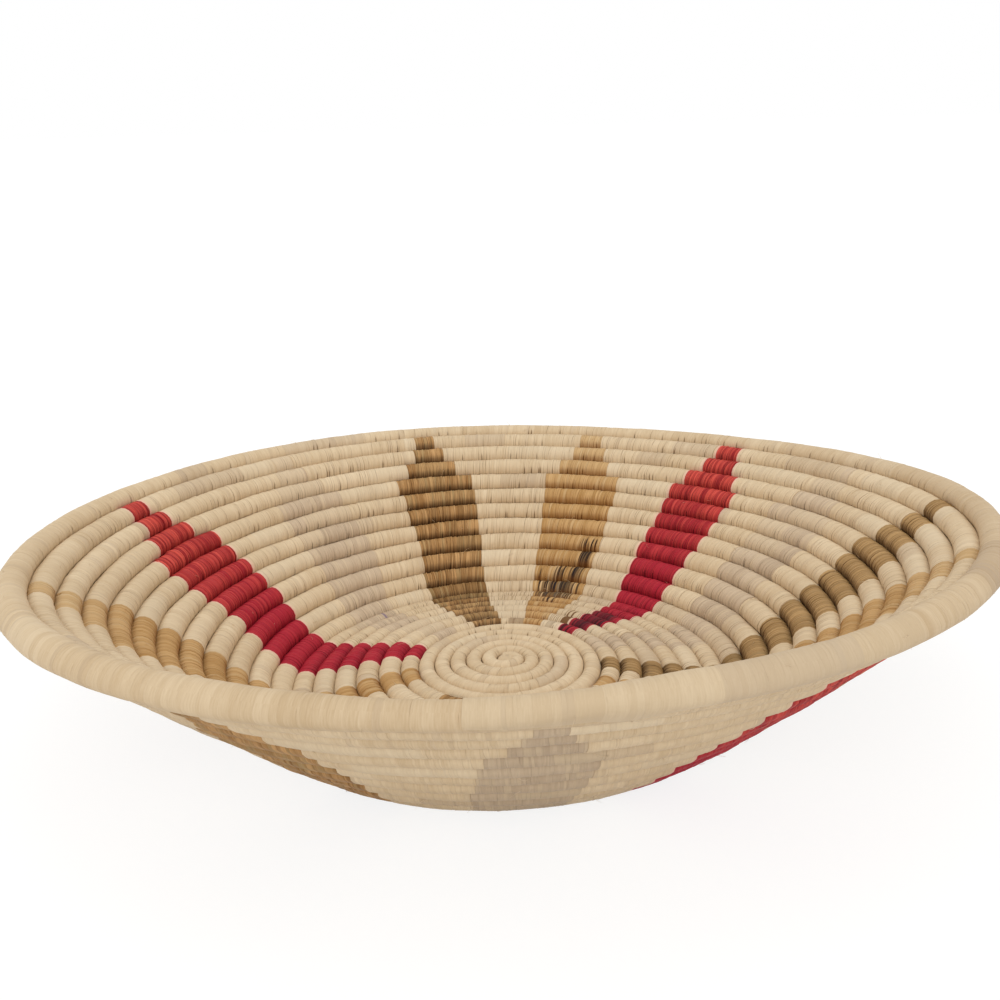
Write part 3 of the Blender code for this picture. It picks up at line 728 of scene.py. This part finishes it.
def creamStains(run):
    # greyer and paler strands, brown spots, and painted shade at the back of the floor and the knee
    strands, strips = run["strandNoise"], run["stripNoise"]
    run["stainA"] = run["stainA"] + above(strips, "creamStrips") + above(strands, "creamStrands")
    run["pale"] = run["pale"] + below(strips, "paleStrips")
    run["slit"] = np.maximum(run["slit"], spots(run, brownCream))
    # painted shade at the back of the floor and the knee
    backShaded = spot(run["azimuth"], paintedBackShade["azimuth"], paintedBackShade["half"]) * (run["turn"] in paintedBackShade["turns"])
    run["slit"] = np.clip(run["slit"] * (1 + paintedBackShade["slits"] * backShaded) + paintedBackShade["plain"] * backShaded, 0, 1)


def redStains(run):
    # crimson low down, and plum strands in one petal
    deeper = np.clip((tints["crimsonTo"] - run["turn"]) / tints["crimsonOver"], 0, 1)
    run["stainB"] = run["stainB"] + deeper * tints["crimson"]
    run["stainA"] = run["stainA"] + spots(run, plumRed)


def greyStains(run):
    # creamy strips and strands, and one violet strand
    strands, strips = run["strandNoise"], run["stripNoise"]
    plainStrips = strips <= tints["greyStrips"][0]
    run["stainB"] = run["stainB"] + above(strips, "greyStrips")
    run["stainB"] = run["stainB"] + above(strands, "greyStrands") * plainStrips
    turn, at, wide, strength = tints["violet"]
    violet = strength * spot(run["strandAzimuth"], at, wide)
    run["stainA"] = run["stainA"] + violet * (run["turn"] == turn)


def brownStains(run):
    # olive strips and strands, darker strands, and painted shade on the turns of the floor and in the knee
    turn, strands, strips = run["turn"], run["strandNoise"], run["stripNoise"]
    run["stainA"] = run["stainA"] + above(strands, "brownStrands") + above(strips, "brownStrips")
    run["stainB"] = run["stainB"] + below(strands, "darkStrands") * (turn in tints["darkTurns"])
    # painted shade on the floor turns and in the knee
    run["stainB"] = run["stainB"] + tints["paintedFloorShade"] * (turn in tints["floorTurns"])
    run["stainB"] = run["stainB"] + tints["paintedKneeShade"] * (turn in tints["kneeTurns"])


def tanStains(run):
    # paler near the tip, black strands low in one petal and pale ones among them
    turn, strands = run["turn"], run["strandNoise"]
    paler = np.clip((turn - tints["fadedFrom"]) / tints["fadedOver"], 0, 1)
    run["stainB"] = run["stainB"] + tints["faded"] * paler + above(strands, "tanStrands")
    run["stainA"] = run["stainA"] + spots(run, darkTan)
    streaks = tints["streaks"] * spot(run["strandAzimuth"], *tints["streakAt"])
    streaks = streaks * (strands > tints["streakStrands"])
    run["pale"] = run["pale"] + streaks * (turn in tints["streakTurns"])


stainsOf = dict(cream=creamStains, red=redStains, grey=greyStains, brown=brownStains, tan=tanStains)


def stains(run, colour):
    # where other colours show, each as a share from 0 to 1 at every point of the run
    for key in ("stainA", "stainB", "pale"):
        run[key] = np.zeros_like(run["azimuth"])
    stainsOf[colour](run)
    return run


def bleed(run, before, after):
    # dye of a red petal on the end of the cream beside it
    lengths = run["along"], run["total"] - run["along"]
    for petalName, length in zip((before, after), lengths):
        if petalName.startswith("red"):
            reach = np.exp(-(length / tints["bledOver"]) ** 4)
            run["stainB"] = run["stainB"] + tints["bled"] * reach
    return run


# Petals and the cream fields between them, turn by turn. Every run has its own seed.
fineName, fineFrom, fineTo, fineWidth = petals["fine"]
pieces = {}
for k, petalName in enumerate(fromSeam):
    colour = petalName.split("_")[0]
    following = fromSeam[(k + 1) % petalCount]
    petalRuns, fieldRuns = [], []
    for turn in range(petals["firstTurn"], petals["lastTurn"] + 1):
        startsAt, endsAt = petalEdge(k, 1, turn), petalEdge(k, -1, turn)
        nextAt = petalEdge(k + 1, 1, turn)
        if following == fromSeam[0]:
            # this field ends at the first petal's next turn, the last one where the rim starts
            nextAt = petalEdge(k + 1, 1, turn + 1) if turn < petals["lastTurn"] else coil["seam"] - 360
        isFine = petalName == fineName and fineFrom <= turn <= fineTo
        petalRun = wrappedRun(turn, startsAt, endsAt, 1000 * k + turn, colour,
                              width=fineWidth if isFine else 1.0,
                              paintedLowerShade=petals["paintedLowerShade"][colour], paintedGrooveShade=petals["paintedGrooveShade"])
        petalRuns.append(stains(petalRun, colour))
        if petalName == petals["olive"][0]:
            petalRun["stainA"] = np.maximum(petalRun["stainA"], petals["olive"][1])
        fieldRun = wrappedRun(turn, endsAt, nextAt, 1000 * k + 500 + turn)
        fieldRuns.append(bleed(stains(fieldRun, "cream"), petalName, following))
    petalRuns += looseFibres(petalRuns, 40 + k)
    fieldRuns += looseFibres(fieldRuns, 60 + k, loose["rarerOnCream"])
    fieldName = "field_%02d" % (petalOrder.index(petalName) + 1)
    pieces["petal_" + petalName] = meshFromRuns("petal_%s_wrapped" % petalName, petalRuns, finishes[colour])
    pieces[fieldName] = meshFromRuns(fieldName + "_wrapped", fieldRuns, finishes["cream"])
print("petals and fields wrapped")

# The plain turns in the middle of the floor, in wider and smoother strands
middleCoil = dict(
    # the grooves between these turns get painted shade
    start=0.68, startSize=0.75, growTurns=0.35, width=2.3, smooth=0.6, ticks=0.9, paintedGrooveShade=0.9,
    knot=0.0046, knotHeight=0.0029,     # the knot that the first turn closes round, metres
    knotRings=12, knotSides=24, bumps=((5, 0.05), (11, 0.03)),      # bumps a turn, size
    knotDown=(0.04, 0.96),              # part of the half circle from its top to its foot
    knotTone=0.5, knotSlit=0.1, knotUv=0.002, fibresEvery=2.0,
)


def middleSection(share):
    # lower and upper edge and width in pitches: the first turn grows from its thin start
    start = middleCoil["start"] - 0.5
    growing = rounded(share, start, start + middleCoil["growTurns"])
    size = middleCoil["startSize"] + (1 - middleCoil["startSize"]) * growing
    return -0.5 * size, 0.5 * size, size


def knotRun():
    # a bumpy dome over the spiral's pole, as rings from its top down: out by the sine and up
    # by the cosine of the way down, times 1 plus two waves round it
    down = np.linspace(*middleCoil["knotDown"], middleCoil["knotRings"])[:, None] * np.pi
    about = np.linspace(0, 2 * np.pi, middleCoil["knotSides"], endpoint=False)[None]
    bumps = sum((size * np.sin(count * about) for count, size in middleCoil["bumps"]), start=1)
    out = middleCoil["knot"] * bumps * np.sin(down)
    dome = np.stack([out * np.cos(about), -out * np.sin(about),
                     middleCoil["knotHeight"] * np.cos(down) * bumps], -1)
    blank = np.zeros(dome.shape[:-1])
    return dict(points=dome + coilPoint(np.array(coil["pole"]), np.array(0.0)),
                tone=blank + middleCoil["knotTone"], slit=blank + middleCoil["knotSlit"],
                stainA=blank, stainB=blank, pale=blank,
                along=blank + down * middleCoil["knotUv"], around=blank + about * middleCoil["knotUv"])


middleRuns = []
for turn in range(1, petals["firstTurn"]):
    first = coil["seam"] if turn > 1 else coil["seam"] - 360 * (middleCoil["start"] - 0.5)
    run = wrappedRun(turn, first, coil["seam"] - 360, 90 + turn, width=middleCoil["width"],
                     smooth=middleCoil["smooth"], ends=(0, 0), ticks=middleCoil["ticks"],
                     paintedGrooveShade=middleCoil["paintedGrooveShade"], size=middleSection if turn == 1 else None)
    middleRuns.append(stains(run, "cream"))
middleRuns += looseFibres(middleRuns, 91, middleCoil["fibresEvery"])
middleRuns.append(knotRun())
pieces["centre_coil"] = meshFromRuns("centre_coil_wrapped", middleRuns, finishes["cream"])
print("middle wrapped")

# The rim: the last, thicker turn. Its end runs over its own start, and the last strands
# wrap the two together
rim = dict(
    thickness=0.97, thickerFront=0.11, startTaper=0.85, growTurns=0.07,
    turns=1.045, tip=0.06, taperTurns=0.045, climbTurns=0.04, climb=0.06, sides=22,
    width=1.8, smooth=0.55, together=(0.985, 1.004), overStart=1.02,
    startLower=-1.5, fibresEvery=2.5,
    lastStrip=328.6, lastFade=(-0.1, 0.1),      # degrees past the seam where the strands turn
    lastPale=0.2,                               # paler by this share
    paler=0.5,                          # the other pale strips show this much of it
    tone=-0.225, paintedLightWave=0.108, paintedLightAt=110,            # painted light: lighter towards this azimuth, darker opposite
    slits=(0.7, 0.3),                   # slits show least at the front
    paintedRightShade=0.12, paintedRightShadeAt=-45, paintedRightShadeFade=(-0.5, 0.6),        # painted shade at the right of the front
)


def rimThickness(share):
    # in pitches: more at the front, less at the back and where the rim starts
    growing = np.clip((share - rim["turns"] + 1) / rim["growTurns"], 0, 1)
    thickness = rim["thickness"] - rim["thickerFront"] * np.sin(np.radians(coil["seam"] - 360 * share))
    return thickness * (1 - (1 - rim["startTaper"]) * (1 - growing))


def rimSection(share):
    # lower and upper edge and width in pitches. Past one turn the lower edge is the start's
    climb = rounded(share, 1 - rim["climbTurns"], 1) * rim["climb"]
    ending = rounded(share, rim["turns"] - rim["taperTurns"], rim["turns"])
    thickness = rimThickness(share) * (1 - (1 - rim["tip"]) * ending)
    lower = climb - 0.5
    upper = lower + thickness
    both = rounded(share, *rim["together"])
    overStart = np.maximum(thickness, rimThickness(share - 1) * rim["overStart"])
    return lower * (1 - both) + rim["startLower"] * both, upper, thickness + (overStart - thickness) * both


rimRun = wrappedRun(coil["rimTurn"], coil["seam"], coil["seam"] - 360 * rim["turns"], 77,
                    width=rim["width"], smooth=rim["smooth"], paintedGrooveShade=0, sides=rim["sides"],
                    size=rimSection)
rimRun = stains(rimRun, "cream")
lastStrip = rounded(coil["seam"] - rim["lastStrip"] - rimRun["azimuth"], *rim["lastFade"])
rimRun["pale"] = np.maximum(rimRun["pale"] * rim["paler"], rim["lastPale"] * lastStrip)
# painted light and shade on the rim: lighter towards the back and left, darker towards the right of the
# front
lighter, towardsRightShade, towardsBack = (np.cos(np.radians(rimRun["azimuth"] - at))
                                 for at in (rim["paintedLightAt"], rim["paintedRightShadeAt"], 90))
rimRun["tone"] = rimRun["tone"] + rim["tone"] + rim["paintedLightWave"] * lighter
rimRun["slit"] = rimRun["slit"] * (rim["slits"][0] + rim["slits"][1] * towardsBack)
# painted shade at the right of the front of the rim
rimRun["slit"] += rim["paintedRightShade"] * rounded(towardsRightShade, *rim["paintedRightShadeFade"])
rimRuns = [rimRun] + looseFibres([rimRun], 90, rim["fibresEvery"])
pieces["rim_coil"] = meshFromRuns("rim_coil_wrapped", rimRuns, finishes["cream"])
print("rim wrapped")

for node, piece in pieces.items():
    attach(piece, "root")
    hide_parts(node)
triangles = sum(len(piece.data.loops) - 2 * len(piece.data.polygons) for piece in pieces.values())
print("pieces:", len(pieces), "triangles:", triangles)


def turnedTo(x, y, z):
    # rotation that lays an object's own axes along these three directions
    return Matrix(np.stack([x, y, z], 1).tolist()).to_euler()


# Camera of the photograph
view = dict(
    place=(-0.0014, -0.4708, 0.2343), pitch=-16.29, yaw=0.5775, roll=-1.5,
    picture=1000, focal=1198, middleX=511.1, middleY=452.1,     # in pixels of the picture
    sensor=36, clip=0.01,
)
camera = bpy.data.cameras.new("camera")
eye = bpy.data.objects.new("camera", camera)
bpy.context.scene.collection.objects.link(eye)
eye.location = np.array(view["place"]) + (*coil["place"], heightGrid[0])
pitch, yaw, roll = (math.radians(view[key]) for key in ("pitch", "yaw", "roll"))
ahead = np.array([math.sin(yaw) * math.cos(pitch), math.cos(yaw) * math.cos(pitch), math.sin(pitch)])
level = unit(np.cross(ahead, [0, 0, 1]))
upright = np.cross(level, ahead)
right = level * math.cos(roll) + upright * math.sin(roll)
up = upright * math.cos(roll) - level * math.sin(roll)
eye.rotation_euler = turnedTo(right, up, -ahead)
camera.sensor_width = view["sensor"]
camera.lens = view["focal"] / view["picture"] * view["sensor"]
camera.shift_x = 0.5 - view["middleX"] / view["picture"]
camera.shift_y = view["middleY"] / view["picture"] - 0.5
camera.clip_start = view["clip"]
bpy.context.scene.camera = eye

# Studio: pale floor, white surroundings, soft light from the front and above. For the
# camera, glossy and transmission rays the floor turns to plain white away from the object.
studio = dict(
    floorSize=12.0, floor=0.9, floorRough=0.9,
    glow=1.12, nearShare=0.74, plainFrom=0.30, plainTo=0.75,
    surround=0.82, surroundColour=(1, 0.985, 0.96, 1), aim=(0, 0, 0.03),
    lamps=(("window", (-0.3, -2.8, 1.85), 2.0, 25.0), ("top", (0.0, 0.2, 1.5), 1.0, 2.0)),
)
floorMesh = bpy.data.meshes.new("floor")
half = studio["floorSize"]
corners = [(-half, -half, 0), (half, -half, 0), (half, half, 0), (-half, half, 0)]
floorMesh.from_pydata(corners, [], [(0, 1, 2, 3)])
paper = Nodes(bpy.data.materials.new("floor_paper"))
paperShader = paper.kept("Principled BSDF")
paper.feed(paperShader.inputs["Base Color"], (studio["floor"], studio["floor"], studio["floor"], 1))
paper.feed(paperShader.inputs["Roughness"], studio["floorRough"])
glow = paper.node("Emission", {}, {"Strength": studio["glow"]})[0]
away = paper.node("VectorMath", dict(operation="LENGTH"), {0: paper.objectPlace()})[1]
plain = paper.node("MapRange", dict(interpolation_type="SMOOTHSTEP"), {
    "Value": away, "From Min": studio["plainFrom"], "From Max": studio["plainTo"],
    "To Min": studio["nearShare"], "To Max": 1.0})[0]
paperLight = Value(paper, paperShader.outputs[0])
blend = paper.node("MixShader", {}, {0: paper.plainRays() * plain, 1: paperLight, 2: glow})[0]
paper.feed(paper.kept("Material Output").inputs["Surface"], blend)
floorMesh.materials.append(paper.owner)
floor = bpy.data.objects.new("floor", floorMesh)
bpy.context.scene.collection.objects.link(floor)

sky = Nodes(bpy.data.worlds.new("surroundings"))
skyLight = sky.kept("Background")
sky.feed(skyLight.inputs["Color"], studio["surroundColour"])
sky.feed(skyLight.inputs["Strength"], studio["surround"])
white = sky.node("Background", {}, {"Color": (1, 1, 1, 1), "Strength": 1.0})[0]
skyLight = Value(sky, skyLight.outputs[0])
either = sky.node("MixShader", {}, {0: sky.plainRays(), 1: skyLight, 2: white})[0]
sky.feed(sky.kept("World Output").inputs["Surface"], either)
bpy.context.scene.world = sky.owner

for name, place, size, power in studio["lamps"]:
    light = bpy.data.lights.new(name, "AREA")
    light.size = size
    light.energy = power
    lamp = bpy.data.objects.new(name, light)
    lamp.location = place
    back = unit(np.array(place) - studio["aim"])
    side = unit(np.cross([0, 0, 1], back))
    lamp.rotation_euler = turnedTo(side, np.cross(back, side), back)
    bpy.context.scene.collection.objects.link(lamp)
bpy.context.scene.view_settings.view_transform = "Standard"
print("camera and studio set")
